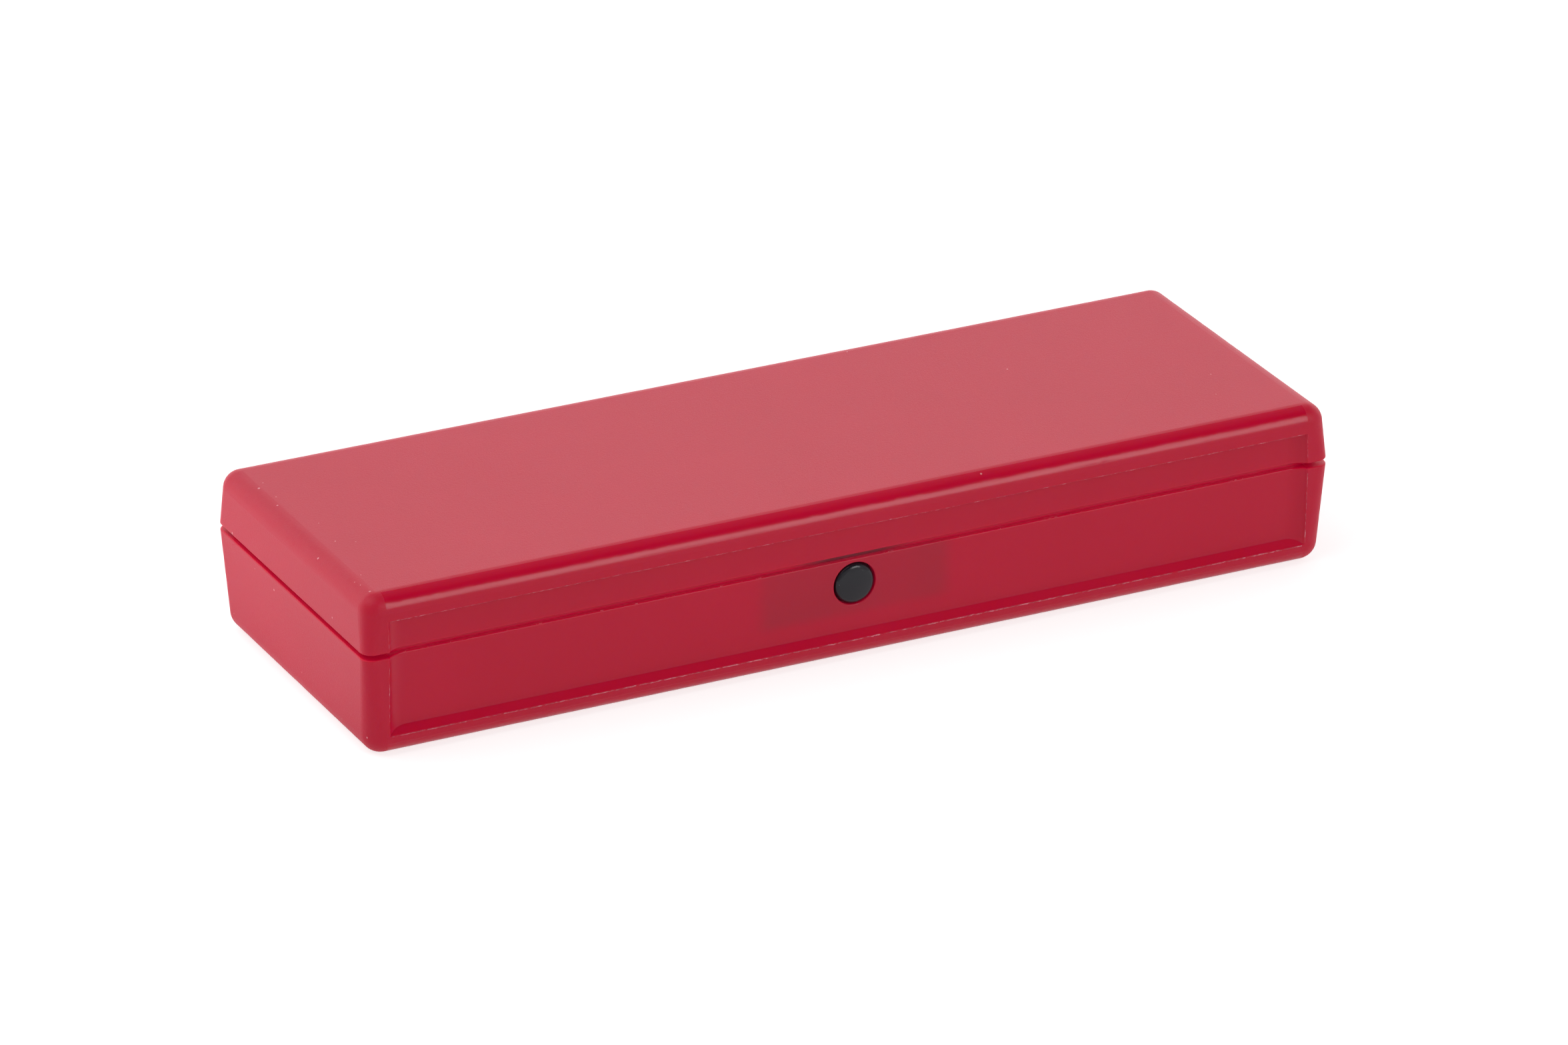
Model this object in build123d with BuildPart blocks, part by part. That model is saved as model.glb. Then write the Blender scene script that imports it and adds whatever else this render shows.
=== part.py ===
"""Hinged plastic pencil case with a push-button catch.

Millimetres. +X runs along the length (to the right as seen from the front), the front faces -Y,
+Z is up, and the origin is the centre of the flat underside.
"""

import os
from math import cos, radians, sin, sqrt, tan

from build123d import *

os.makedirs("parts", exist_ok=True)

# Outside of the two shells
case_length = 200.0
case_width = 69.0
base_height = 20.2
lid_height = 11.0
seam_gap = 1.0
draft = 2.5
corner_radius = 2.4
base_edge_radius = 3.8
lid_edge_radius = 3.6
seam_edge_radius = 0.25
corner_margin = 0.3

# Walls
wall = 1.8
floor_thickness = 2.0
inner_corner_radius = 2.0
inner_floor_radius = 1.4

# Sunken front panel, shared by base and lid
panel_half = 95.2
panel_depth = 1.4
panel_drop = 16.3
panel_rise = 6.1
ramp_radius = 5.3
ledge_slope = 1.5
lintel_slope = 0.4
panel_spill = 4.0

# Tongue of the base, which stands inside the lid's edge
tongue_thickness = 0.85
tongue_setback = 0.1
tongue_rise = 1.6
tongue_clearance = 0.15
tongue_back_stop = 4.0

# Push button and its hole
button_radius = 4.1
button_clearance = 0.22
rim_strip = 0.78
button_sink = 0.1
button_dome = 0.65
button_edge_radius = 1.2
hole_edge_radius = 0.25
stem_radius = 2.0
stem_clearance = 0.02

# Catch slider, bow spring and the cover that holds them
slider_half = 19.2
slider_thickness = 1.2
slider_top_rise = 1.2
slider_corner = 1.2
low_pad_height = 1.8
low_pad_gap = 0.1
pad_height = 0.3
pad_width = 5.0
slide_clearance = 0.05
guide_clearance = 0.3
hook_half = 6.0
hook_thickness = 1.4
hook_reach = 1.1
hook_foot = 4.0
hook_nose_height = 1.7
nose_lip = 0.5
catch_depth = 1.2
catch_height = 1.3
catch_clearance = 0.2
catch_bevel = 0.4
catch_root = 0.6
catch_side = 1.0
spring_thickness = 0.35
spring_gap = 1.5
spring_half_span = 15.0
spring_room = 2.9
cover_thickness = 1.4
cover_clearance = 0.05
cover_drop = 0.6
cover_corner = 1.5
groove_depth = 1.6
rail_width = 3.4
rail_root = 0.6
rail_lip = 1.4
floor_root = 0.5
shelf_thickness = 1.4

# Hinge
knuckle_radius = 2.0
hinge_outset = 1.2
hinge_offset = 60.0
knuckle_length = 7.0
knuckle_gap = 0.3
knuckle_clearance = 0.3
web_height = 6.0
web_root = 0.9
web_lip = 0.8
pin_radius = 0.8
pin_press_clearance = 0.01
pin_running_clearance = 0.06
pin_end_inset = 0.4
pin_chamfer = 0.15
stop_reach = 3.0
stop_height = 1.2
stop_width = 4.0

# Worked out from the sizes above
seam_z = base_height + seam_gap / 2
lid_edge_z = base_height + seam_gap
front_y = -case_width / 2
back_y = case_width / 2
panel_y = front_y + panel_depth
inner_front_y = panel_y + wall
inner_back_y = back_y - wall
inner_half = case_length / 2 - wall
ramp_run = sqrt(ramp_radius**2 - (ramp_radius - panel_depth) ** 2)
tongue_top = lid_edge_z + tongue_rise
button_z = base_height - rim_strip - button_clearance - button_radius
slider_front_y = inner_front_y + slide_clearance + pad_height
slider_back_y = slider_front_y + slider_thickness
slider_top = base_height + slider_top_rise
slider_bottom = button_z - button_radius - low_pad_gap - low_pad_height
cover_y = slider_back_y + spring_room
rail_inner_x = slider_half + guide_clearance
rail_root_y = inner_front_y - rail_root
rail_back_y = cover_y + cover_thickness + rail_lip
shelf_top = slider_bottom - guide_clearance
spring_bottom = shelf_top + slide_clearance
spring_top = slider_top - hook_foot - spring_gap
cover_top = base_height - cover_drop
catch_bottom = tongue_top + catch_clearance
catch_top = catch_bottom + catch_height
catch_y = inner_front_y + catch_depth
hook_front_y = catch_y + catch_clearance
nose_bottom = catch_top + catch_clearance
hook_top = nose_bottom + hook_nose_height
hinge_y = back_y + hinge_outset
station_half = 1.5 * knuckle_length + knuckle_gap
station_centres = (-hinge_offset, hinge_offset)


def plan_outline(x_half, y_low, y_high, radius):
    """Rounded rectangle in plan."""
    with BuildSketch() as outline:
        with Locations((0, (y_low + y_high) / 2)):
            RectangleRounded(2 * x_half, y_high - y_low, radius)
    return outline.sketch


def drafted_box(x_half, y_low, y_high, height, corner, far_radius):
    """Box that hangs from Z = 0 and closes in by the draft. Its corners open out, where needed, to
    take the rounding of the far edge."""
    inset = height * tan(radians(draft))
    far_corner = max(corner, far_radius + corner_margin)
    with BuildPart() as box:
        with BuildSketch():
            add(plan_outline(x_half, y_low, y_high, corner))
        with BuildSketch(Plane.XY.offset(-height)):
            add(plan_outline(x_half - inset, y_low + inset, y_high - inset, far_corner))
        loft(ruled=True)
        fillet(box.faces().sort_by(Axis.Z)[0].edges(), far_radius)
    return box.part


def front_plane(y):
    """Plane facing the front at a depth y: its own x and y run along +X and +Z."""
    return Plane.XZ.offset(-y)


def panel_cutter(face, low, high, far, far_slope):
    """Cutter of the sunken panel. It leans back with the drafted wall, runs from low to high up the
    wall, and has long hollow ramps at its two sides and a flat slope at the far edge."""
    across = Plane(origin=face.origin, x_dir=(1, 0, 0), z_dir=face.y_dir)
    along = Plane(origin=face.origin, x_dir=face.y_dir, z_dir=(1, 0, 0))
    tool_half = panel_half - ramp_run + ramp_radius
    outside = 2 * ramp_radius
    with BuildPart() as cutter:
        with BuildSketch(across.offset(low)) as ramps:
            with Locations((0, (panel_depth - outside) / 2)):
                Rectangle(2 * tool_half, panel_depth + outside)
            fillet(ramps.vertices().group_by(Axis.Y)[-1], ramp_radius)
        extrude(amount=high - low)
        with BuildSketch(along) as ledge:
            with Locations(((low + high) / 2, (outside - panel_depth) / 2)):
                Rectangle(high - low, outside + panel_depth)
            chamfer(ledge.vertices().sort_by_distance((far, -panel_depth))[0], far_slope)
        extrude(amount=tool_half, both=True, mode=Mode.INTERSECT)
    return cutter.part


def knuckle_profile(way):
    """Hinge knuckle with the web that carries it, on the base (way -1) or on the lid (way +1)."""
    with BuildSketch() as profile:
        with Locations((hinge_y, seam_z)):
            Circle(knuckle_radius)
        with BuildLine():
            Polyline(
                (back_y - web_root, seam_z + way * seam_gap / 2),
                (hinge_y + knuckle_radius, seam_z),
                (hinge_y + knuckle_radius, seam_z + way * web_lip),
                (back_y - web_root, seam_z + way * web_height),
                close=True,
            )
        make_face()
    return profile.sketch


def along_x(profile, low, high):
    """Solid of a profile drawn in Y and Z, from X = low to X = high."""
    with BuildPart() as run:
        with BuildSketch(Plane.YZ.offset(low)):
            add(profile)
        extrude(amount=high - low)
    return run.part


def hinge_rod(radius, low, high):
    """Round rod on the hinge axis."""
    with BuildPart() as rod:
        with BuildSketch(Plane.YZ.offset(low)):
            with Locations((hinge_y, seam_z)):
                Circle(radius)
        extrude(amount=high - low)
    return rod.part


def knuckle_notch(low, high):
    """Round notch that leaves room for the other shell's knuckle to turn."""
    return hinge_rod(knuckle_radius + knuckle_clearance, low - knuckle_gap, high + knuckle_gap)


# Spans along X of the knuckles and of the notches that clear them
base_spans = []
lid_spans = []
for centre in station_centres:
    base_spans.append((centre - station_half, centre - station_half + knuckle_length))
    base_spans.append((centre + station_half - knuckle_length, centre + station_half))
    lid_spans.append((centre - knuckle_length / 2, centre + knuckle_length / 2))

lean = radians(draft)
base_face = Plane(origin=(0, front_y, base_height), x_dir=(1, 0, 0), z_dir=(0, -cos(lean), -sin(lean)))
lid_face = Plane(origin=(0, front_y, lid_edge_z), x_dir=(1, 0, 0), z_dir=(0, -cos(lean), sin(lean)))
base_panel = panel_cutter(base_face, -panel_drop, panel_spill, -panel_drop, ledge_slope)
lid_panel = panel_cutter(lid_face, -panel_spill, panel_rise, panel_rise, lintel_slope)
base_knuckle = knuckle_profile(-1)
lid_knuckle = knuckle_profile(1)

tongue_outside = plan_outline(
    inner_half + tongue_thickness,
    inner_front_y - tongue_thickness,
    inner_back_y + tongue_thickness,
    inner_corner_radius + tongue_thickness,
)
tongue_inside = plan_outline(
    inner_half + tongue_setback,
    inner_front_y - tongue_setback,
    inner_back_y + tongue_setback,
    inner_corner_radius + tongue_setback,
)
rebate_outside = plan_outline(
    inner_half + tongue_thickness + tongue_clearance,
    inner_front_y - tongue_thickness - tongue_clearance,
    inner_back_y,
    inner_corner_radius + tongue_thickness + tongue_clearance,
)
base_block = drafted_box(
    case_length / 2, front_y, back_y, base_height, corner_radius, base_edge_radius
)
lid_block = drafted_box(case_length / 2, front_y, back_y, lid_height, corner_radius, lid_edge_radius)
base_room = drafted_box(
    inner_half,
    inner_front_y,
    inner_back_y,
    base_height - floor_thickness,
    inner_corner_radius,
    inner_floor_radius,
)
lid_room = drafted_box(
    inner_half, inner_front_y, inner_back_y, lid_height - wall, inner_corner_radius, inner_floor_radius
)

# Base shell: tray with a sunken front, a tongue round its rim, the catch pocket and hinge knuckles
with BuildPart() as lower_shell:
    with Locations((0, 0, base_height)):
        add(base_block)
    add(base_panel, mode=Mode.SUBTRACT)
    fillet(lower_shell.faces().sort_by(Axis.Z)[-1].edges(), seam_edge_radius)
    with Locations((0, 0, base_height)):
        add(base_room, mode=Mode.SUBTRACT)
    with BuildSketch(Plane.XY.offset(base_height)):
        add(tongue_outside)
        add(tongue_inside, mode=Mode.SUBTRACT)
        with Locations((0, inner_back_y)):
            Rectangle(2 * case_length, 2 * tongue_back_stop, mode=Mode.SUBTRACT)
    extrude(amount=tongue_top - base_height)
    with BuildSketch(Plane.XY.offset(shelf_top)):
        with Locations((0, (inner_front_y + rail_back_y) / 2)):
            Rectangle(2 * rail_inner_x, rail_back_y - inner_front_y)
    extrude(amount=base_height, mode=Mode.SUBTRACT)
    for side in (-1, 1):
        with BuildSketch(Plane.XY.offset(floor_thickness - floor_root)):
            with Locations((side * (rail_inner_x + rail_width / 2), (rail_root_y + rail_back_y) / 2)):
                Rectangle(rail_width, rail_back_y - rail_root_y)
        extrude(amount=cover_top - floor_thickness + floor_root)
    with BuildSketch(Plane.XY.offset(shelf_top)):
        with Locations((0, (rail_root_y + rail_back_y) / 2)):
            Rectangle(2 * rail_inner_x + rail_width, rail_back_y - rail_root_y)
    extrude(amount=-shelf_thickness)
    with BuildSketch(Plane.XY.offset(shelf_top)):
        with Locations((0, cover_y + cover_thickness / 2)):
            Rectangle(2 * (rail_inner_x + groove_depth), cover_thickness + 2 * cover_clearance)
    extrude(amount=base_height, mode=Mode.SUBTRACT)
    with BuildSketch(front_plane(front_y)):
        with Locations((0, button_z)):
            Circle(button_radius + button_clearance)
    extrude(amount=-(panel_depth + wall + rail_root), mode=Mode.SUBTRACT)
    fillet(lower_shell.edges().sort_by_distance((0, panel_y, button_z))[0], hole_edge_radius)
    for low, high in lid_spans:
        add(knuckle_notch(low, high), mode=Mode.SUBTRACT)
    for low, high in base_spans:
        add(along_x(base_knuckle, low, high))
        add(hinge_rod(pin_radius + pin_press_clearance, low, high), mode=Mode.SUBTRACT)
lower_shell.part.label = "lower_shell"
export_step(lower_shell.part, "parts/lower_shell.step")

# Lid shell: shallow cap with the rest of the sunken front, the catch rib and the middle knuckles
with BuildPart() as lid_shell:
    with Locations((0, 0, lid_edge_z)):
        add(mirror(lid_block, about=Plane.XY, mode=Mode.PRIVATE))
    add(lid_panel, mode=Mode.SUBTRACT)
    fillet(lid_shell.faces().sort_by(Axis.Z)[0].edges(), seam_edge_radius)
    with Locations((0, 0, lid_edge_z)):
        add(mirror(lid_room, about=Plane.XY, mode=Mode.PRIVATE), mode=Mode.SUBTRACT)
    with BuildSketch(Plane.XY.offset(lid_edge_z - seam_gap)):
        add(rebate_outside)
    extrude(amount=seam_gap + tongue_rise + catch_clearance, mode=Mode.SUBTRACT)
    with BuildSketch(Plane.YZ):
        with BuildLine():
            Polyline(
                (inner_front_y - catch_root, catch_bottom),
                (catch_y - catch_bevel, catch_bottom),
                (catch_y, catch_bottom + catch_bevel),
                (catch_y, catch_top),
                (inner_front_y - catch_root, catch_top),
                close=True,
            )
        make_face()
    extrude(amount=hook_half + catch_side, both=True)
    for low, high in base_spans:
        add(knuckle_notch(low, high), mode=Mode.SUBTRACT)
    for low, high in lid_spans:
        add(along_x(lid_knuckle, low, high))
        with BuildSketch(Plane.XY.offset(seam_z)):
            with Locations(((low + high) / 2, hinge_y + stop_reach / 2)):
                Rectangle(stop_width, stop_reach)
        extrude(amount=stop_height)
        add(hinge_rod(pin_radius + pin_running_clearance, low, high), mode=Mode.SUBTRACT)
lid_shell.part.label = "lid_shell"
export_step(lid_shell.part, "parts/lid_shell.step")

# Hinge pins: cut steel wire, one for each hinge
for centre, side_name in zip(station_centres, ("left", "right")):
    with BuildPart() as hinge_pin:
        reach = station_half - pin_end_inset
        with BuildSketch(Plane.YZ.offset(centre - reach)):
            with Locations((hinge_y, seam_z)):
                Circle(pin_radius)
        extrude(amount=2 * reach)
        chamfer(hinge_pin.edges().filter_by(GeomType.CIRCLE), pin_chamfer)
    hinge_pin.part.label = "hinge_pin_" + side_name
    export_step(hinge_pin.part, "parts/hinge_pin_" + side_name + ".step")

# Push button: domed cap on a short stem that is pressed into the slider
with BuildPart() as push_button:
    with BuildSketch(Plane.YZ):
        dome_y = panel_y + button_sink - button_dome
        rim_y = panel_y + button_sink
        with BuildLine():
            crown = ThreePointArc(
                (dome_y, button_z),
                (dome_y + button_dome * 0.27, button_z + button_radius * 0.52),
                (rim_y, button_z + button_radius),
            )
            Polyline(
                crown @ 1,
                (slider_front_y, button_z + button_radius),
                (slider_front_y, button_z + stem_radius),
                (slider_back_y, button_z + stem_radius),
                (slider_back_y, button_z),
                crown @ 0,
            )
        make_face()
    revolve(axis=Axis((0, 0, button_z), (0, 1, 0)))
    rim_edge = push_button.edges().sort_by_distance((button_radius, rim_y, button_z))[0]
    fillet(rim_edge, button_edge_radius)
push_button.part.label = "push_button"
export_step(push_button.part, "parts/push_button.step")

# Catch slider: plate behind the front wall, with pads that rest on it and the hook for the lid
with BuildPart() as latch_slider:
    slider_middle = (slider_top + slider_bottom) / 2
    with BuildSketch(front_plane(slider_back_y)) as plate:
        with Locations((0, slider_middle)):
            RectangleRounded(2 * slider_half, slider_top - slider_bottom, slider_corner)
    extrude(amount=slider_thickness)
    with BuildSketch(front_plane(slider_front_y)):
        for side in (-1, 1):
            with Locations((side * (slider_half - pad_width / 2), slider_middle)):
                RectangleRounded(pad_width, slider_top - slider_bottom, slider_corner)
        with Locations((0, slider_bottom + low_pad_height / 2)):
            RectangleRounded(2 * button_radius + pad_width, low_pad_height, slider_corner / 2)
    extrude(amount=pad_height)
    with BuildSketch(Plane.YZ):
        with BuildLine():
            Polyline(
                (hook_front_y, slider_top - hook_foot),
                (hook_front_y, nose_bottom),
                (hook_front_y - hook_reach, nose_bottom),
                (hook_front_y - hook_reach, nose_bottom + nose_lip),
                (hook_front_y + nose_lip, hook_top),
                (hook_front_y + hook_thickness, hook_top),
                (hook_front_y + hook_thickness, slider_top - hook_foot),
                close=True,
            )
        make_face()
    extrude(amount=hook_half, both=True)
    with BuildSketch(front_plane(slider_back_y)):
        with Locations((0, button_z)):
            Circle(stem_radius + stem_clearance)
    extrude(amount=slider_thickness, mode=Mode.SUBTRACT)
latch_slider.part.label = "latch_slider"
export_step(latch_slider.part, "parts/latch_slider.step")

# Bow spring: strip of spring steel between the slider and the cover
with BuildPart() as latch_spring:
    spring_end_y = cover_y - slide_clearance - spring_thickness
    spring_crown_y = slider_back_y + slide_clearance
    with BuildSketch(Plane.XY.offset(spring_bottom)):
        with BuildLine():
            near = ThreePointArc(
                (-spring_half_span, spring_end_y), (0, spring_crown_y), (spring_half_span, spring_end_y)
            )
            far = ThreePointArc(
                (-spring_half_span, spring_end_y + spring_thickness),
                (0, spring_crown_y + spring_thickness),
                (spring_half_span, spring_end_y + spring_thickness),
            )
            Line(near @ 0, far @ 0)
            Line(near @ 1, far @ 1)
        make_face()
    extrude(amount=spring_top - spring_bottom)
latch_spring.part.label = "latch_spring"
export_step(latch_spring.part, "parts/latch_spring.step")

# Catch cover: plate that slides down the grooves of the rails and hides the catch from the pencils
with BuildPart() as latch_cover:
    cover_bottom = shelf_top + cover_clearance
    with BuildSketch(front_plane(cover_y)) as cover_face:
        with Locations((0, (cover_bottom + cover_top) / 2)):
            Rectangle(2 * (rail_inner_x + groove_depth - cover_clearance), cover_top - cover_bottom)
        fillet(cover_face.vertices().group_by(Axis.Y)[-1], cover_corner)
    extrude(amount=-cover_thickness)
latch_cover.part.label = "latch_cover"
export_step(latch_cover.part, "parts/latch_cover.step")
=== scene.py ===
"""Looks of the hinged pencil case: two shells of translucent red plastic, the black push-button catch
in the front and the two wire-pinned hinges at the back. Metres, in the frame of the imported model."""

from math import asin, pi, radians, tan

import bpy
from mathutils import Matrix, Vector


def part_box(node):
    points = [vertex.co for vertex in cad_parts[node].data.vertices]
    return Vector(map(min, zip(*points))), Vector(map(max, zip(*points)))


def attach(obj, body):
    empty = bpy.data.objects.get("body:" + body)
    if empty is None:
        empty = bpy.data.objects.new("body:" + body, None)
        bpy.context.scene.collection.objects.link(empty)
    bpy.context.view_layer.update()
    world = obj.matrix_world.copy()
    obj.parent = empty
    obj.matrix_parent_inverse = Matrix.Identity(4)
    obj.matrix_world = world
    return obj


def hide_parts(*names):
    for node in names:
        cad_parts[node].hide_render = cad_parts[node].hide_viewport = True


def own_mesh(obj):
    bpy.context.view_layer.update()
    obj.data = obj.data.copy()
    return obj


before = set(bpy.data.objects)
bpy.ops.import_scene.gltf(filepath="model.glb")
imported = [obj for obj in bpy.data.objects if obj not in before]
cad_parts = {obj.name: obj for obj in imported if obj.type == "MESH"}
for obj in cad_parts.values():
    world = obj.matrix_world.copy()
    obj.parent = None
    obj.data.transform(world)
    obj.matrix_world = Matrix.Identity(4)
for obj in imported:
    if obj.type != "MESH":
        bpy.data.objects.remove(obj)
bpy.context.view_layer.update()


# ---------------------------------------------------------------------------------------------
# Red shells. Base and lid are injection moulded in one translucent red polypropylene. The outside
# is spark-eroded to a fine matt grain and the sunken front panel is left smooth. Their colour holds
# painted shade where black parts that touch the wall from behind show through it, and a painted
# glow where light comes through the plastic in the seam.

MM = 0.001
base_low, base_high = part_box("lower_shell")
front_y = base_low.y
draft = radians(2.5)
wall = 1.8 * MM
tongue_rise = 2.6 * MM
seam_half = 0.5 * MM
seam_low = base_high.z - tongue_rise
seam_middle = seam_low + seam_half
panel_half = 95.2 * MM
panel_bottom = seam_low - 16.3 * MM
inside_depth = 3.3 * MM
panel_top = seam_middle + seam_half + 6.1 * MM


def new_group(name, inputs, outputs):
    """Shader node group that takes a position and the named numbers, and puts out named masks."""
    group = bpy.data.node_groups.new(name, "ShaderNodeTree")
    group.interface.new_socket("Position", in_out="INPUT", socket_type="NodeSocketVector")
    for input_name in inputs:
        group.interface.new_socket(input_name, in_out="INPUT", socket_type="NodeSocketFloat")
    for output_name in outputs:
        group.interface.new_socket(output_name, in_out="OUTPUT", socket_type="NodeSocketFloat")
    group.nodes.new("NodeGroupInput").name = "in"
    group.nodes.new("NodeGroupOutput").name = "out"
    return group


class Wiring:
    """Short way to place nodes in a tree and link them. Each value is a number or another socket."""

    def __init__(self, tree):
        self.tree = tree

    def feed(self, socket, value):
        if isinstance(value, bpy.types.NodeSocket):
            self.tree.links.new(value, socket)
        elif value is not None:
            socket.default_value = value

    def math(self, operation, a, b=None, c=None):
        node = self.tree.nodes.new("ShaderNodeMath")
        node.operation = operation
        for socket, value in zip(node.inputs, (a, b, c)):
            self.feed(socket, value)
        return node.outputs[0]

    def both(self, *masks):
        """Product of the masks: 1 where all of them are 1."""
        product = masks[0]
        for mask in masks[1:]:
            product = self.math("MULTIPLY", product, mask)
        return product

    def smooth(self, value, low, high):
        """0 at low, 1 at high and eased between; low may be the larger of the two."""
        node = self.tree.nodes.new("ShaderNodeMapRange")
        node.interpolation_type = "SMOOTHSTEP"
        self.feed(node.inputs["Value"], value)
        self.feed(node.inputs["From Min"], low)
        self.feed(node.inputs["From Max"], high)
        return node.outputs["Result"]

    def noise(self, vector, scale, detail=2.0, roughness=0.5):
        node = self.tree.nodes.new("ShaderNodeTexNoise")
        self.feed(node.inputs["Vector"], vector)
        self.feed(node.inputs["Scale"], scale)
        self.feed(node.inputs["Detail"], detail)
        self.feed(node.inputs["Roughness"], roughness)
        return node.outputs["Fac"]

    def cells(self, vector, scale):
        """Random cells: distance from the nearest cell's centre, its random colour and its centre."""
        node = self.tree.nodes.new("ShaderNodeTexVoronoi")
        self.feed(node.inputs["Vector"], vector)
        self.feed(node.inputs["Scale"], scale)
        return node.outputs["Distance"], node.outputs["Color"], node.outputs["Position"]

    def vector(self, operation, a, b):
        node = self.tree.nodes.new("ShaderNodeVectorMath")
        node.operation = operation
        self.feed(node.inputs[0], a)
        self.feed(node.inputs[1], b)
        return node.outputs["Value" if operation == "DOT_PRODUCT" else "Vector"]

    def mix(self, amount, a, b):
        node = self.tree.nodes.new("ShaderNodeMix")
        node.data_type = "RGBA"
        self.feed(node.inputs["Factor"], amount)
        self.feed(node.inputs[6], a)
        self.feed(node.inputs[7], b)
        return node.outputs[2]

    def stretch(self, vector, scale):
        node = self.tree.nodes.new("ShaderNodeMapping")
        self.feed(node.inputs["Vector"], vector)
        node.inputs["Scale"].default_value = scale
        return node.outputs["Vector"]

    def split(self, vector):
        node = self.tree.nodes.new("ShaderNodeSeparateXYZ")
        self.feed(node.inputs[0], vector)
        return node.outputs

    def place(self, group, **values):
        node = self.tree.nodes.new("ShaderNodeGroup")
        node.node_tree = group
        for name, value in values.items():
            self.feed(node.inputs[name.replace("_", " ")], value)
        return node.outputs

    def coordinates(self):
        return self.tree.nodes.new("ShaderNodeTexCoord").outputs["Object"]

    def bump(self, height, strength, distance, normal=None):
        node = self.tree.nodes.new("ShaderNodeBump")
        self.feed(node.inputs["Height"], height)
        self.feed(node.inputs["Normal"], normal)
        node.inputs["Strength"].default_value = strength
        node.inputs["Distance"].default_value = distance
        return node.outputs["Normal"]


def make_panel_mask():
    """1 on the smooth sunken panel, 0 on the grained outside and on everything inside."""
    skin_depth = 0.10 * MM
    full_depth = 0.22 * MM
    behind_panel = 2.6 * MM
    group = new_group("panel_mask", [], ["Mask"])
    wires = Wiring(group)
    x, y, z = wires.split(group.nodes["in"].outputs["Position"])
    from_middle = wires.math("ABSOLUTE", wires.math("SUBTRACT", z, seam_middle))
    from_seam = wires.math("SUBTRACT", from_middle, seam_half)
    wall_y = wires.math("MULTIPLY_ADD", from_seam, tan(draft), front_y)
    depth = wires.math("SUBTRACT", y, wall_y)
    sunk = wires.smooth(depth, skin_depth, full_depth)
    outside = wires.math("LESS_THAN", depth, behind_panel)
    between_ends = wires.math("LESS_THAN", wires.math("ABSOLUTE", x), panel_half + 0.1 * MM)
    wires.feed(group.nodes["out"].inputs["Mask"], wires.both(sunk, outside, between_ends))
    return group


def make_dust():
    """Sparse pale specks of dust and a few short straight hairline scratches, as masks. Each scratch
    lies in its own cell, turned by the cell's random colour."""
    largest_speck = 0.15  # share of a cell
    longest_scratch = 0.40  # share of a cell
    scratch_width = 0.012 * MM
    middle_grey = (0.5, 0.5, 0.5)
    numbers = ["Speck Scale", "Speck Share", "Scratch Scale", "Scratch Share"]
    group = new_group("dust_and_scratches", numbers, ["Specks", "Scratches"])
    wires = Wiring(group)
    given = group.nodes["in"].outputs
    place = given["Position"]
    distance, colour, _ = wires.cells(place, given["Speck Scale"])
    size_draw, share_draw, _ = wires.split(colour)
    inside = wires.math("LESS_THAN", distance, wires.math("MULTIPLY", size_draw, largest_speck))
    chosen = wires.math("LESS_THAN", share_draw, given["Speck Share"])
    wires.feed(group.nodes["out"].inputs["Specks"], wires.both(inside, chosen))
    distance, colour, centre = wires.cells(place, given["Scratch Scale"])
    size_draw, _, share_draw = wires.split(colour)
    from_centre = wires.vector("SUBTRACT", place, centre)
    across = wires.vector("DOT_PRODUCT", from_centre, wires.vector("SUBTRACT", colour, middle_grey))
    thin = wires.math("LESS_THAN", wires.math("ABSOLUTE", across), scratch_width)
    short = wires.math("LESS_THAN", distance, wires.math("MULTIPLY", size_draw, longest_scratch))
    chosen = wires.math("LESS_THAN", share_draw, given["Scratch Share"])
    wires.feed(group.nodes["out"].inputs["Scratches"], wires.both(thin, short, chosen))
    return group


def make_catch_shade():
    """Painted shade where the black catch behind the wall shows through it. It stands a little behind
    the wall, so its rectangle is blurred; the shade is darker towards its lower left and its right end.
    Its hook is nearer still and shows as a darker painted patch on the tongue in the seam."""
    slider_low, slider_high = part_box("latch_slider")
    plate_half = slider_high.x
    plate_low = slider_low.z
    side_blur = 2.2 * MM
    low_blur = 1.5 * MM
    plate_strength = 0.70
    left_strength = 0.30
    right_strength = 0.22
    end_start = 9.0 * MM
    end_full = 16.0 * MM
    hook_half = 9.0 * MM
    hook_blur = 5.0 * MM
    hook_top = seam_low + 1.2 * MM
    rim_top = seam_low + 0.05 * MM
    tongue_y = front_y + 2.15 * MM
    group = new_group("painted_catch_shade", [], ["Plate", "Hook"])
    wires = Wiring(group)
    x, y, z = wires.split(group.nodes["in"].outputs["Position"])
    across = wires.math("ABSOLUTE", x)
    in_width = wires.smooth(across, plate_half + side_blur, plate_half - side_blur)
    over_foot = wires.smooth(z, plate_low - low_blur, plate_low + low_blur)
    below_rim = wires.math("LESS_THAN", z, rim_top)
    in_front = wires.math("LESS_THAN", y, front_y + inside_depth)
    toward_left = wires.smooth(x, end_full, -end_full)
    toward_right_end = wires.smooth(x, end_start, end_full)
    lower = wires.smooth(z, seam_low, plate_low)
    strength = wires.math("MULTIPLY_ADD", wires.both(toward_left, lower), left_strength, plate_strength)
    strength = wires.math("MULTIPLY_ADD", toward_right_end, right_strength, strength)
    plate = wires.both(in_width, over_foot, below_rim, strength, in_front)
    wires.feed(group.nodes["out"].inputs["Plate"], plate)
    hook_width = wires.smooth(across, hook_half + hook_blur, hook_half - hook_blur)
    above_rim = wires.math("SUBTRACT", wires.math("LESS_THAN", z, hook_top), below_rim)
    on_tongue = wires.math("GREATER_THAN", y, tongue_y)
    hook = wires.both(hook_width, above_rim, on_tongue, in_front)
    wires.feed(group.nodes["out"].inputs["Hook"], hook)
    return group


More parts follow.
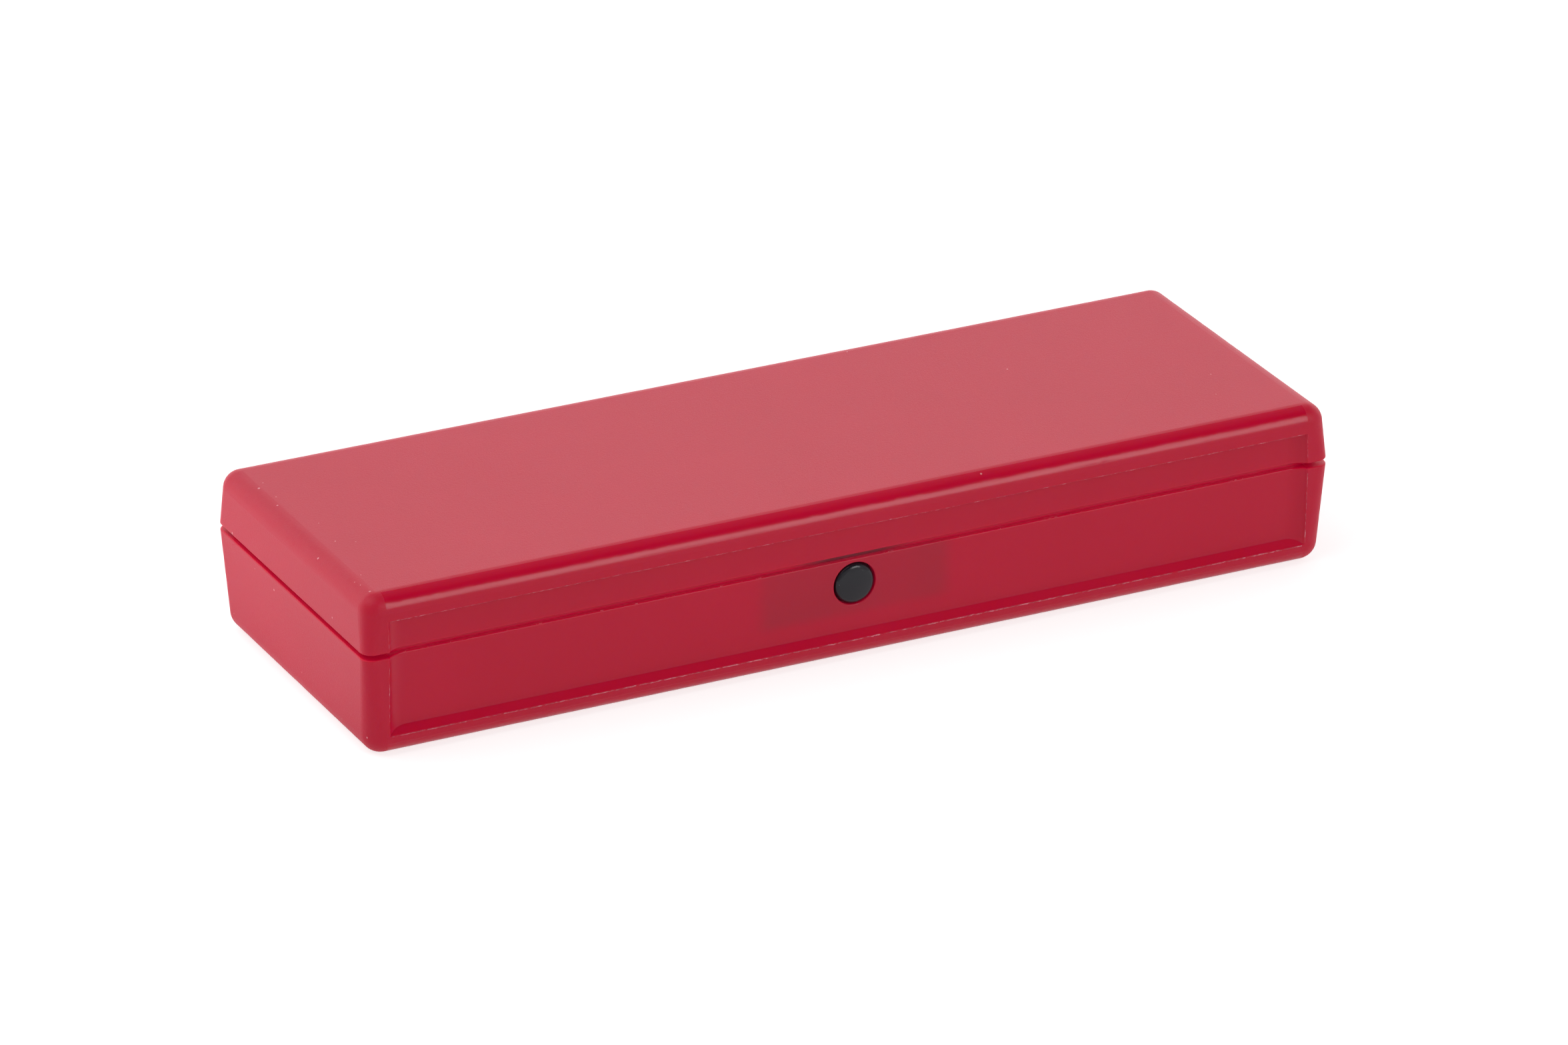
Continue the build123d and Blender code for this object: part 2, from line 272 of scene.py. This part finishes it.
def make_seam_glow():
    """Painted glow where light that has come through the plastic shows: on the rim and the tongue in
    the seam, and more faintly in the button's hole and on the slope at the foot of the panel."""
    button_low, button_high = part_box("push_button")
    button_half = button_high.x
    button_z = (button_low.z + button_high.z) / 2
    rim_start = seam_low - 0.12 * MM
    rim_full = seam_low - 0.01 * MM
    shade_start = seam_low + 0.25 * MM
    shade_full = seam_low + 0.75 * MM
    hinge_y = base_high.y - 3.0 * MM
    slope_start = panel_bottom + 0.10 * MM
    slope_end = panel_bottom + 1.70 * MM
    slope_edge = 0.10 * MM
    slope_depth = 2.25 * MM
    hole_full = button_half + 0.28 * MM
    hole_end = button_half + 0.45 * MM
    slope_strength = 0.30
    hole_strength = 0.6
    group = new_group("painted_seam_glow", [], ["Glow"])
    wires = Wiring(group)
    x, y, z = wires.split(group.nodes["in"].outputs["Position"])
    on_rim = wires.smooth(z, rim_start, rim_full)
    under_lid = wires.smooth(z, shade_full, shade_start)
    before_hinge = wires.math("LESS_THAN", y, hinge_y)
    rim = wires.both(on_rim, under_lid, before_hinge)
    slope_foot = wires.smooth(z, slope_start, slope_start + slope_edge)
    slope_head = wires.smooth(z, slope_end, slope_end - 2 * slope_edge)
    between_ends = wires.math("LESS_THAN", wires.math("ABSOLUTE", x), panel_half)
    outside = wires.math("LESS_THAN", y, front_y + slope_depth)
    slope = wires.both(slope_foot, slope_head, between_ends, outside, slope_strength)
    above_axis = wires.math("SUBTRACT", z, button_z)
    squared = wires.math("ADD", wires.both(x, x), wires.both(above_axis, above_axis))
    from_axis = wires.math("SQRT", squared)
    round_button = wires.smooth(from_axis, hole_end, hole_full)
    in_front = wires.math("LESS_THAN", y, front_y + inside_depth)
    hole = wires.both(round_button, in_front, hole_strength)
    glow = wires.math("MAXIMUM", wires.math("MAXIMUM", rim, slope), hole)
    wires.feed(group.nodes["out"].inputs["Glow"], glow)
    return group


panel_mask = make_panel_mask()
dust_and_scratches = make_dust()
painted_catch_shade = make_catch_shade()
painted_seam_glow = make_seam_glow()


def new_material(name):
    """Material with its Principled shader, and the wiring of its tree."""
    material = bpy.data.materials.new(name)
    material.use_nodes = True
    shader = material.node_tree.nodes["Principled BSDF"]
    return material, shader, Wiring(material.node_tree)


red_plastic, shader, wires = new_material("red_polypropylene")
place = wires.coordinates()
smooth_panel = wires.place(panel_mask, Position=place)["Mask"]
grained = wires.math("SUBTRACT", 1.0, smooth_panel)
# Painted shade over the black catch behind the wall, and its darker painted patch at the hook.
behind = wires.place(painted_catch_shade, Position=place)
# Painted glow in the seam, in the button's hole and on the slope under the panel.
glow = wires.place(painted_seam_glow, Position=place)["Glow"]

# Dust has settled mostly on the left end.
dusty_end = wires.smooth(wires.split(place)[0], -90 * MM, -98 * MM)
marks = wires.place(
    dust_and_scratches,
    Position=place,
    Speck_Scale=560.0,
    Speck_Share=wires.math("MULTIPLY_ADD", dusty_end, 0.26, 0.015),
    Scratch_Scale=55.0,
    Scratch_Share=0.14,
)

# Colour: clouded red, with painted shade over the catch behind the wall and pale dust on top.
deep_red = (0.495, 0.0008, 0.027, 1)
full_red = (0.535, 0.0014, 0.033, 1)
plate_shade = (0.050, 0.030, 0.035, 1)
hook_shade = (0.060, 0.020, 0.030, 1)
dust_pink = (0.80, 0.42, 0.46, 1)
body_colour = wires.mix(wires.noise(place, 45.0, 3.0), deep_red, full_red)
body_colour = wires.mix(wires.math("MULTIPLY", behind["Plate"], 0.20), body_colour, plate_shade)
body_colour = wires.mix(wires.math("MULTIPLY", behind["Hook"], 0.70), body_colour, hook_shade)
body_colour = wires.mix(wires.math("MULTIPLY", marks["Specks"], 0.55), body_colour, dust_pink)
wires.feed(shader.inputs["Base Color"], body_colour)

# Painted glow of light that comes through the plastic, except over the hook.
unlit = (0.0, 0.0, 0.0, 1)
glow_red = (0.11, 0.0, 0.008, 1)
lit = wires.math("MULTIPLY", glow, wires.math("MULTIPLY_ADD", behind["Hook"], -0.85, 1.0))
wires.feed(shader.inputs["Emission Color"], wires.mix(lit, unlit, glow_red))
shader.inputs["Emission Strength"].default_value = 1.0

# Gloss: matt grain outside, smooth panel, duller scratches.
wave = wires.noise(place, 60.0, 2.0)
rough_grained = wires.math("MULTIPLY_ADD", wires.noise(place, 7200.0, 1.0), 0.20, 0.37)
rough_panel = wires.math("MULTIPLY_ADD", wave, 0.08, 0.20)
unscratched = wires.split(wires.mix(smooth_panel, rough_grained, rough_panel))[0]
scratched = wires.math("MULTIPLY_ADD", marks["Scratches"], 0.25, unscratched)
wires.feed(shader.inputs["Roughness"], scratched)

# Relief: the fine grain, nearly gone on the panel, over a slow sink of the wall.
grain = wires.noise(place, 4300.0, 3.0, 0.6)
grain_share = wires.math("MULTIPLY_ADD", grained, 0.92, 0.08)
grain_relief = wires.bump(wires.math("MULTIPLY", grain, grain_share), 0.8, 0.06 * MM)
wires.feed(shader.inputs["Normal"], wires.bump(wave, 0.25, 0.10 * MM, grain_relief))
shader.inputs["Specular IOR Level"].default_value = 0.31
shader.inputs["Subsurface Weight"].default_value = 0.70
shader.inputs["Subsurface Radius"].default_value = (1.0, 0.04, 0.07)
shader.inputs["Subsurface Scale"].default_value = 1.5 * MM

for node_name in ("lower_shell", "lid_shell", "latch_cover"):
    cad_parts[node_name].data.materials.clear()
    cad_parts[node_name].data.materials.append(red_plastic)


# ---------------------------------------------------------------------------------------------
# Parting flash. Thin ragged fins of the same red plastic that the moulds leave where their blades
# met: along the top of the lid's panel, along the foot of the base's panel, down the sides of both
# and on the base's rim. Pale pink patches on them are painted highlight along their edges.

flash_red, shader, wires = new_material("red_flash_painted_highlight")
unhighlighted_red = (0.48, 0.05, 0.08, 1)
highlight_pink = (0.78, 0.30, 0.36, 1)
flash_mottle = wires.noise(wires.coordinates(), 420.0, 4.0, 0.7)
# Painted highlight: pale pink patches along the fins.
pale = wires.smooth(flash_mottle, 0.42, 0.66)
wires.feed(shader.inputs["Base Color"], wires.mix(pale, unhighlighted_red, highlight_pink))
wires.feed(shader.inputs["Roughness"], wires.math("MULTIPLY_ADD", flash_mottle, 0.20, 0.25))
wires.feed(shader.inputs["Normal"], wires.bump(flash_mottle, 0.4, 0.03 * MM))


def make_flash(name, body, middle, half, lean, upright, width, proud, seed):
    """Fin in the leaning front wall, along it or upright: a grid whose points are shaken apart and
    that is then thickened."""
    step = 0.45 * MM
    bpy.ops.object.select_all(action="DESELECT")
    steps = int(2 * half / step)
    long_way, short_way = (2, steps) if upright else (steps, 2)
    bpy.ops.mesh.primitive_grid_add(x_subdivisions=long_way, y_subdivisions=short_way, size=1.0)
    fin = bpy.context.object
    fin.name = name
    fin.scale = (width, 2 * half, 1.0) if upright else (2 * half, width, 1.0)
    fin.rotation_euler = (pi / 2 + lean, 0.0, 0.0)
    bpy.ops.object.transform_apply(location=False, rotation=True, scale=True)
    bpy.ops.object.mode_set(mode="EDIT")
    bpy.ops.mesh.select_all(action="SELECT")
    bpy.ops.transform.vertex_random(offset=proud, uniform=0.0, normal=0.0, seed=seed)
    bpy.ops.object.mode_set(mode="OBJECT")
    fin.location = middle
    bpy.ops.object.transform_apply(location=True, rotation=False, scale=False)
    thick = fin.modifiers.new("thickness", "SOLIDIFY")
    thick.thickness = proud * 1.5
    thick.offset = 0.0
    bpy.ops.object.modifier_apply(modifier="thickness")
    bpy.ops.object.mode_set(mode="EDIT")
    bpy.ops.mesh.select_all(action="SELECT")
    bpy.ops.mesh.normals_make_consistent(inside=False)
    bpy.ops.object.mode_set(mode="OBJECT")
    fin.data.materials.append(flash_red)
    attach(fin, body)


def make_long_flash(name, body, y, z, half, lean, width, proud, seed):
    """Fin that runs along the case, centred on it."""
    make_flash(name, body, (0.0, y, z), half, lean, False, width, proud, seed)


def make_side_flash(name, body, side, y, z, half, lean, proud, seed):
    """Upright fin at the left or right end of the panel."""
    make_flash(name, body, (side * panel_half, y, z), half, lean, True, 0.07 * MM, proud, seed)


lid_rim = seam_low + 1.0 * MM
foot_z = panel_bottom + 0.1 * MM
rim_z = seam_low - 0.06 * MM
set_in = 0.04 * MM
seam_y = front_y + set_in
lid_y = seam_y + (panel_top - lid_rim) * tan(draft)
foot_y = seam_y + (seam_low - foot_z) * tan(draft)
rim_y = front_y + 1.60 * MM
long_half = panel_half - 0.6 * MM
rim_half = panel_half - 3.0 * MM
make_long_flash("lid_panel_flash", "lid", lid_y, panel_top, long_half, -draft, 0.08 * MM, 0.05 * MM, 3)
make_long_flash("base_foot_flash", "base", foot_y, foot_z, long_half, draft, 0.12 * MM, 0.08 * MM, 5)
make_long_flash("base_rim_flash", "base", rim_y, rim_z, rim_half, draft, 0.06 * MM, 0.045 * MM, 8)

lid_side_y = (seam_y + lid_y) / 2
lid_side_z = (panel_top + lid_rim) / 2 + 0.2 * MM
lid_side_half = (panel_top - lid_rim) / 2 - 0.5 * MM
base_side_y = (seam_y + foot_y) / 2
base_side_z = (foot_z + seam_low) / 2 - 0.2 * MM
base_side_half = (seam_low - foot_z) / 2 - 0.8 * MM
for side, hand in ((-1, "left"), (1, "right")):
    lid_name = "lid_side_flash_" + hand
    base_name = "base_side_flash_" + hand
    make_side_flash(
        lid_name, "lid", side, lid_side_y, lid_side_z, lid_side_half, -draft, 0.04 * MM, 11 + side
    )
    make_side_flash(
        base_name, "base", side, base_side_y, base_side_z, base_side_half, draft, 0.05 * MM, 21 + side
    )


# ---------------------------------------------------------------------------------------------
# Ejector marks. Faint round pads that the mould's pins leave on the base's floor and under the lid,
# of the same red plastic as the shells.

lid_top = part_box("lid_shell")[1].z
floor_thickness = 2.0 * MM
pad_radius = 2.6 * MM
pad_rise = 0.14 * MM
pad_root = 0.10 * MM
pad_rim = 0.35 * MM
pad_dish = 0.07 * MM
pad_places = [(x * MM, y * MM) for y in (18, -12) for x in (-78, 0, 78)]


def make_ejector_marks(name, body, z, upward):
    """Six shallow dished pads on one inner face, the first modelled and the others copied."""
    bpy.ops.object.select_all(action="DESELECT")
    middle = z + upward * (pad_rise - pad_root) / 2
    bpy.ops.mesh.primitive_cylinder_add(vertices=40, radius=pad_radius, depth=pad_rise + pad_root)
    pad = bpy.context.object
    bpy.ops.object.mode_set(mode="EDIT")
    bpy.ops.mesh.select_mode(type="FACE")
    bpy.ops.mesh.select_all(action="DESELECT")
    bpy.ops.object.mode_set(mode="OBJECT")
    for face in pad.data.polygons:
        face.select = face.normal.z * upward > 0.9
    bpy.ops.object.mode_set(mode="EDIT")
    bpy.ops.mesh.inset(thickness=pad_rim)
    bpy.ops.transform.translate(value=(0.0, 0.0, -upward * pad_dish))
    bpy.ops.object.mode_set(mode="OBJECT")
    edge = pad.modifiers.new("edge", "BEVEL")
    edge.width = 0.05 * MM
    edge.segments = 2
    bpy.ops.object.modifier_apply(modifier="edge")
    pads = [pad]
    while len(pads) < len(pad_places):
        bpy.ops.object.select_all(action="DESELECT")
        pad.select_set(True)
        bpy.context.view_layer.objects.active = pad
        bpy.ops.object.duplicate(linked=False)
        pads.append(bpy.context.object)
    for one, (x, y) in zip(pads, pad_places):
        one.location = (x, y, middle)
    bpy.ops.object.select_all(action="DESELECT")
    for one in pads:
        one.select_set(True)
    bpy.context.view_layer.objects.active = pad
    bpy.ops.object.transform_apply(location=True, rotation=False, scale=False)
    bpy.ops.object.join()
    pad.name = name
    bpy.ops.object.shade_smooth_by_angle(angle=radians(40))
    pad.data.materials.clear()
    pad.data.materials.append(red_plastic)
    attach(pad, body)


make_ejector_marks("base_ejector_marks", "base", base_low.z + floor_thickness, 1)
make_ejector_marks("lid_ejector_marks", "lid", lid_top - wall, -1)


# ---------------------------------------------------------------------------------------------
# Push button and catch slider. Both are moulded in black acetal: the button's dome is polished by
# fingers, the slider behind it keeps a dull moulded finish.

black_plastic, shader, wires = new_material("black_acetal")
place = wires.coordinates()
marks = wires.place(
    dust_and_scratches,
    Position=place,
    Speck_Scale=900.0,
    Speck_Share=0.04,
    Scratch_Scale=400.0,
    Scratch_Share=0.2,
)
deep_black = (0.007, 0.006, 0.010, 1)
soft_black = (0.011, 0.010, 0.015, 1)
dust_grey = (0.3, 0.25, 0.27, 1)
tone = wires.mix(wires.noise(place, 300.0, 2.0), deep_black, soft_black)
tone = wires.mix(wires.math("MULTIPLY", marks["Specks"], 0.4), tone, dust_grey)
wires.feed(shader.inputs["Base Color"], tone)
skin = wires.noise(place, 2600.0, 3.0, 0.6)
wires.feed(shader.inputs["Roughness"], wires.math("MULTIPLY_ADD", skin, 0.10, 0.15))
wires.feed(shader.inputs["Normal"], wires.bump(skin, 0.3, 0.03 * MM))
shader.inputs["Specular IOR Level"].default_value = 0.42

for node_name in ("push_button", "latch_slider"):
    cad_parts[node_name].data.materials.clear()
    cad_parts[node_name].data.materials.append(black_plastic)


# ---------------------------------------------------------------------------------------------
# Hinge pins. Two pieces of drawn steel wire, cut to length and pressed through the knuckles at the
# back, streaked along their length by the drawing.

wire_steel, shader, wires = new_material("drawn_steel_wire")
dark_wire = (0.42, 0.42, 0.44, 1)
light_wire = (0.66, 0.66, 0.68, 1)
streak = wires.noise(wires.stretch(wires.coordinates(), (0.05, 1.0, 1.0)), 4000.0, 3.0)
wires.feed(shader.inputs["Base Color"], wires.mix(streak, dark_wire, light_wire))
wires.feed(shader.inputs["Roughness"], wires.math("MULTIPLY_ADD", streak, 0.20, 0.22))
shader.inputs["Metallic"].default_value = 1.0

for node_name in ("hinge_pin_left", "hinge_pin_right"):
    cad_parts[node_name].data.materials.clear()
    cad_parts[node_name].data.materials.append(wire_steel)


# ---------------------------------------------------------------------------------------------
# Bow spring. A strip of hardened steel with a faint blue temper, bent to a shallow bow. It stands
# between the cover and the slider, and the button flattens it as it goes in.

spring_steel, shader, wires = new_material("tempered_spring_steel")
temper_blue = (0.22, 0.24, 0.32, 1)
temper_straw = (0.36, 0.33, 0.36, 1)
place = wires.coordinates()
streak = wires.noise(wires.stretch(place, (0.05, 0.05, 1.0)), 3000.0, 3.0)
temper = wires.noise(place, 120.0, 2.0)
wires.feed(shader.inputs["Base Color"], wires.mix(temper, temper_blue, temper_straw))
wires.feed(shader.inputs["Roughness"], wires.math("MULTIPLY_ADD", streak, 0.20, 0.24))
shader.inputs["Metallic"].default_value = 1.0

spring_low, spring_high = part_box("latch_spring")
spring_depth = spring_high.y - spring_low.y
spring_height = spring_high.z - spring_low.z
spring_z = (spring_low.z + spring_high.z) / 2
spring_sheet = 0.35 * MM
spring_half = spring_high.x
spring_rise = spring_depth - spring_sheet
spring_bend_radius = (spring_half**2 + spring_rise**2) / (2 * spring_rise)
spring_bend = 2 * asin(spring_half / spring_bend_radius)
bpy.ops.object.select_all(action="DESELECT")
bpy.ops.mesh.primitive_grid_add(x_subdivisions=48, y_subdivisions=2, size=1.0)
bow_spring = bpy.context.object
bow_spring.name = "bow_spring"
spring_length = spring_bend_radius * spring_bend - 0.4 * MM
bow_spring.scale = (spring_length, spring_height - 0.2 * MM, 1.0)
bow_spring.rotation_euler = (pi / 2, 0.0, 0.0)
bpy.ops.object.transform_apply(location=False, rotation=True, scale=True)
bend = bow_spring.modifiers.new("bow", "SIMPLE_DEFORM")
bend.deform_method = "BEND"
bend.deform_axis = "Z"
bend.angle = spring_bend
bpy.ops.object.modifier_apply(modifier="bow")
sheet = bow_spring.modifiers.new("sheet", "SOLIDIFY")
sheet.thickness = spring_sheet
sheet.offset = 0.0
bpy.ops.object.modifier_apply(modifier="sheet")
edge = bow_spring.modifiers.new("edge", "BEVEL")
edge.width = 0.08 * MM
edge.segments = 2
edge.limit_method = "ANGLE"
bpy.ops.object.modifier_apply(modifier="edge")
low_y = min(vertex.co.y for vertex in bow_spring.data.vertices)
bow_spring.location = (0.0, spring_low.y - low_y, spring_z)
bpy.ops.object.transform_apply(location=True, rotation=False, scale=False)
bow_spring.data.materials.append(spring_steel)
bpy.ops.object.shade_smooth_by_angle(angle=radians(40))
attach(bow_spring, "base")
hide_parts("latch_spring")
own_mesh(bow_spring)


# ---------------------------------------------------------------------------------------------
# Floor. A plain pale sheet, larger than the view, that the case stands on. It sends some light up
# to the case, most of it at the back left; it isn't part of the object.

bpy.ops.object.select_all(action="DESELECT")
bpy.ops.mesh.primitive_plane_add(size=6.0, location=(0.0, 0.0, 0.0))
floor = bpy.context.object
floor.name = "floor"
floor_white, shader, wires = new_material("pale_floor")
shader.inputs["Base Color"].default_value = (0.40, 0.40, 0.40, 1)
shader.inputs["Emission Strength"].default_value = 1.0
seen_floor = (0.75, 0.75, 0.75, 1)
dim_bounce = (0.46, 0.46, 0.46, 1)
bright_bounce = (1.05, 1.05, 1.05, 1)
place_x, place_y, _ = wires.split(wires.coordinates())
beside_left = wires.smooth(place_x, -85 * MM, -130 * MM)
toward_back = wires.smooth(place_y, -35 * MM, 5 * MM)
bounce = wires.mix(wires.both(beside_left, toward_back), dim_bounce, bright_bounce)
seen = wires.tree.nodes.new("ShaderNodeLightPath").outputs["Is Camera Ray"]
wires.feed(shader.inputs["Emission Color"], wires.mix(seen, bounce, seen_floor))
shader.inputs["Roughness"].default_value = 0.9
shader.inputs["Specular IOR Level"].default_value = 0.1
floor.data.materials.append(floor_white)


# ---------------------------------------------------------------------------------------------
# Light. A bright sweep behind the case under a dark ceiling, dimmer in front and at the left, with
# one softbox at the front right and a large one high at the left.

world = bpy.data.worlds.new("light_tent")
bpy.context.scene.world = world
world.use_nodes = True
wires = Wiring(world.node_tree)
direction = wires.tree.nodes.new("ShaderNodeTexCoord").outputs["Generated"]
ray_x, ray_y, ray_z = wires.split(direction)
backward = wires.smooth(ray_y, -0.20, 0.40)
left_side = wires.smooth(ray_x, -0.35, -0.85)
below_ceiling = wires.smooth(ray_z, 0.72, 0.43)
sweep = wires.math("MULTIPLY_ADD", backward, 1.10, 0.50)
left_dimming = wires.math("MULTIPLY_ADD", left_side, -0.46, 1.0)
ceiling = wires.math("MULTIPLY_ADD", wires.smooth(ray_y, -0.32, 0.05), 0.24, 0.03)
level = wires.math("MULTIPLY_ADD", wires.both(sweep, left_dimming, below_ceiling), 1.05, ceiling)
background = world.node_tree.nodes["Background"]
wires.feed(background.inputs["Strength"], level)
background.inputs["Color"].default_value = (1.0, 1.0, 1.0, 1)


def add_softbox(name, toward, away, size, radiance):
    """Square area light that faces the case, with its power worked out from its radiance."""
    data = bpy.data.lights.new(name, "AREA")
    data.shape = "SQUARE"
    data.size = size
    data.energy = radiance * pi * size**2
    box = bpy.data.objects.new(name, data)
    bpy.context.scene.collection.objects.link(box)
    toward = Vector(toward).normalized()
    turn = toward.to_track_quat("Z", "Y").to_matrix().to_4x4()
    box.matrix_world = Matrix.Translation(toward * away) @ turn


add_softbox("front_softbox", (0.40, -0.79, 0.47), 1.5, 0.62, 4.5)
add_softbox("high_softbox", (-0.45, 0.0, 0.89), 1.5, 1.30, 2.2)

bpy.context.scene.view_settings.view_transform = "Standard"


# ---------------------------------------------------------------------------------------------
# Camera. A long lens from the front left and above, aimed near the middle of the case and turned a
# hair off level.

azimuth = radians(-26.04)
elevation = radians(24.0)
roll = radians(-0.293)
distance = 1.7823
aim = Vector((0.1 * MM, -2.8 * MM, 15.5 * MM))
camera_data = bpy.data.cameras.new("camera")
camera_data.sensor_width = 36.0
camera_data.lens = 217.16
camera_data.clip_end = 50.0
camera = bpy.data.objects.new("camera", camera_data)
bpy.context.scene.collection.objects.link(camera)
turn = Matrix.Rotation(azimuth, 4, "Z") @ Matrix.Rotation(pi / 2 - elevation, 4, "X")
turn = turn @ Matrix.Rotation(roll, 4, "Z")
camera.matrix_world = Matrix.Translation(aim + turn.to_3x3() @ Vector((0, 0, distance))) @ turn
bpy.context.scene.camera = camera
